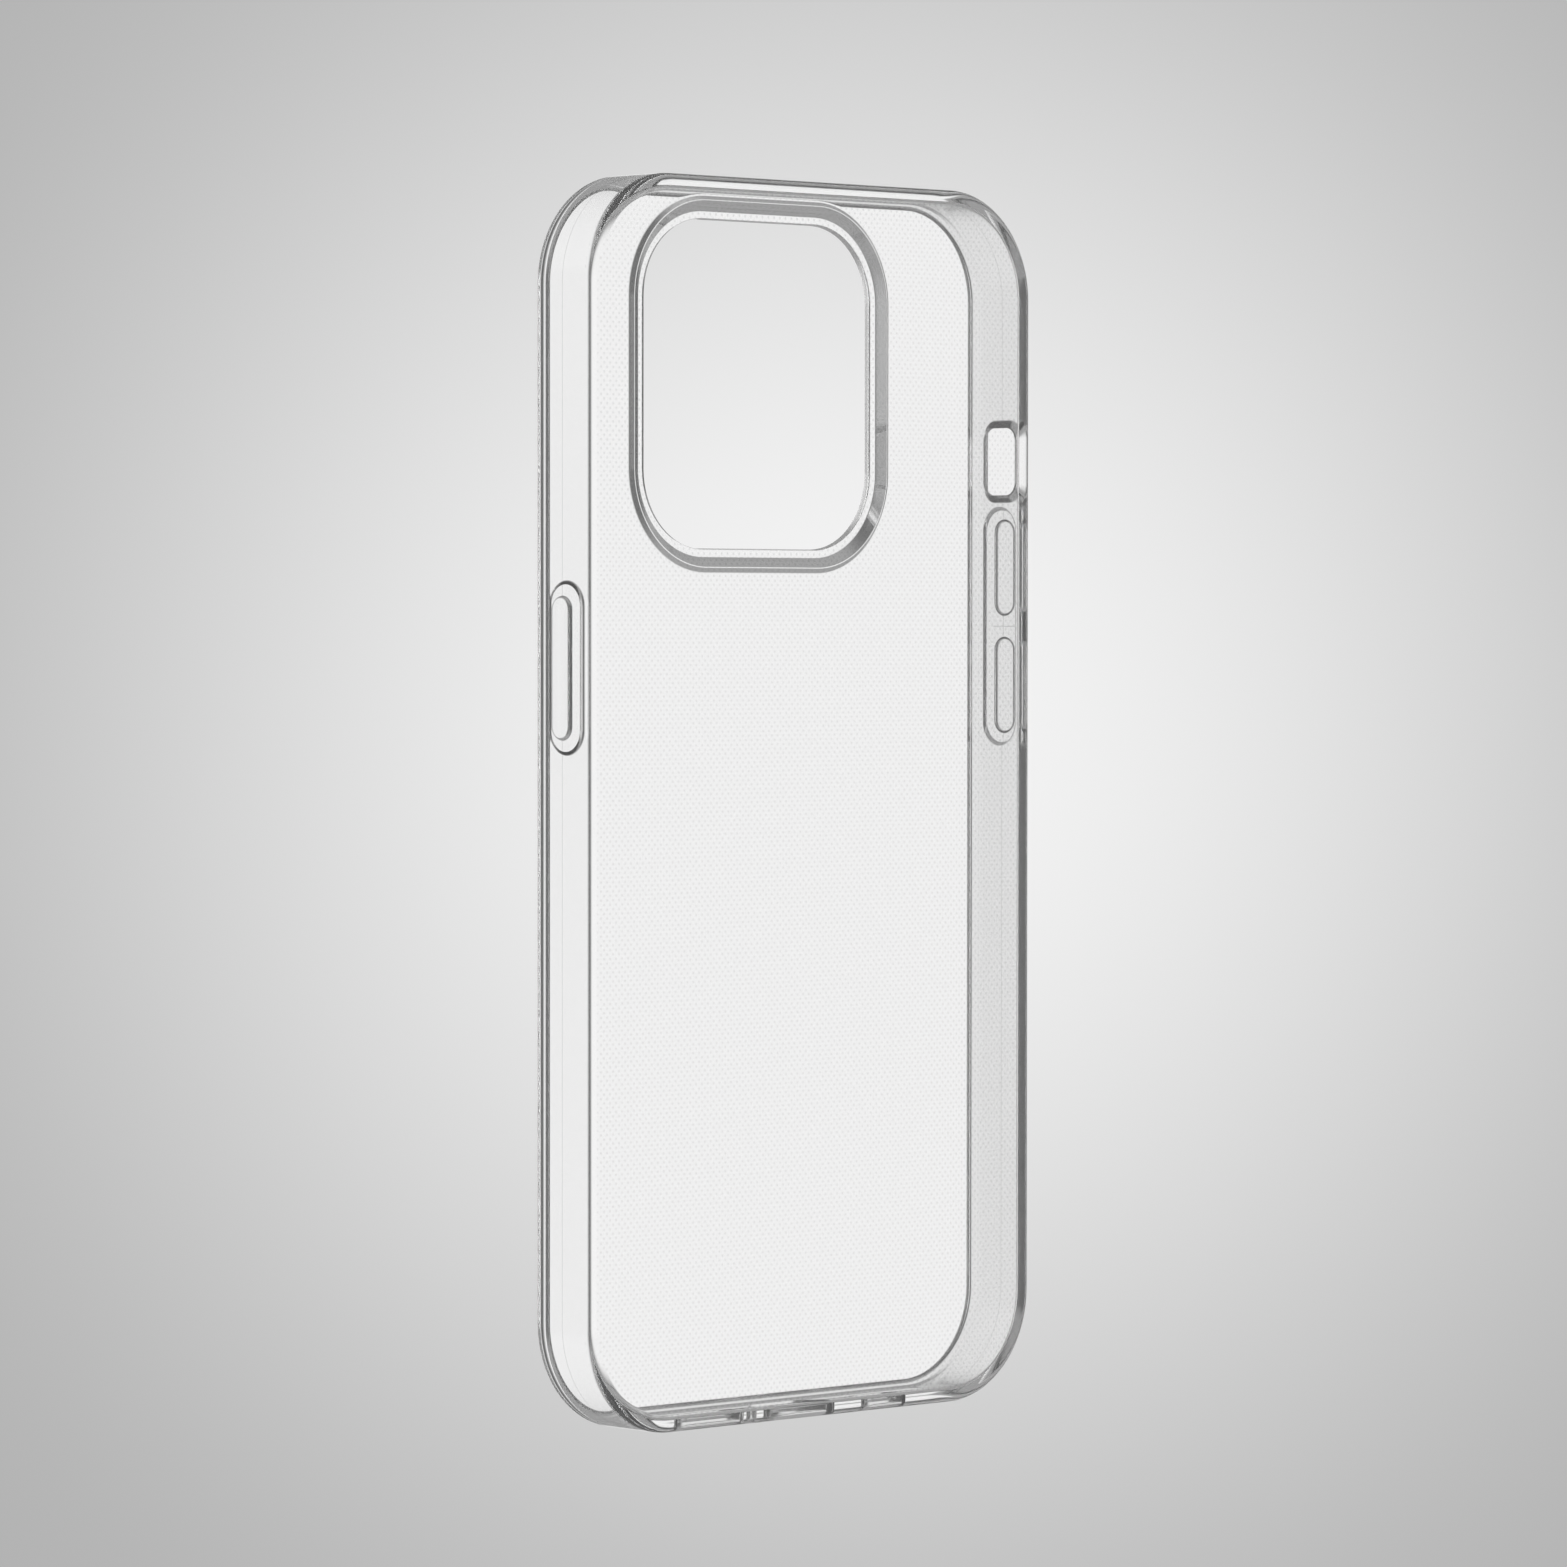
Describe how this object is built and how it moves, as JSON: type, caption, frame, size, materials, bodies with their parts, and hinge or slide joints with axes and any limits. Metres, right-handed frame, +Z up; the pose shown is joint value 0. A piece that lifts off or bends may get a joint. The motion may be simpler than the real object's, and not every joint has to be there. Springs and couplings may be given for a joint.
{
  "type": "phone case",
  "caption": "Clear soft phone case: flat back with raised camera surround, drafted side walls, front lip, and pads over the side buttons that press in.",
  "frame": {"origin": "the middle of the pocket's floor, where the middle of the phone's back sits", "axes": "+Z up from the charging-port end to the camera end, -Y out of the back, +Y out of the open front, +X towards the volume buttons"},
  "size_m": [0.075, 0.0105, 0.15],
  "materials": {
    "clear_tpu": "clear, soft TPU, glossy, with a fine dot grid moulded inside"
  },
  "bodies": {
    "case": {"back_panel": "clear_tpu", "side_frame": "clear_tpu", "screen_lip": "clear_tpu", "camera_bezel": "clear_tpu", "power_button_web": "clear_tpu", "volume_up_web": "clear_tpu", "volume_down_web": "clear_tpu"},
    "power_button": {"power_button": "clear_tpu"},
    "volume_up_button": {"volume_up_button": "clear_tpu"},
    "volume_down_button": {"volume_down_button": "clear_tpu"}
  },
  "joints": [
    {"name": "power_press", "type": "slide", "parent": "case", "child": "power_button", "axis": [1, 0, 0], "range_m": [0, 0.00035], "stiffness_N_per_m": 3000, "deforming": ["power_button_web"]},
    {"name": "volume_up_press", "type": "slide", "parent": "case", "child": "volume_up_button", "axis": [-1, 0, 0], "range_m": [0, 0.00035], "stiffness_N_per_m": 3000, "deforming": ["volume_up_web"]},
    {"name": "volume_down_press", "type": "slide", "parent": "case", "child": "volume_down_button", "axis": [-1, 0, 0], "range_m": [0, 0.00035], "stiffness_N_per_m": 3000, "deforming": ["volume_down_web"]}
  ]
}
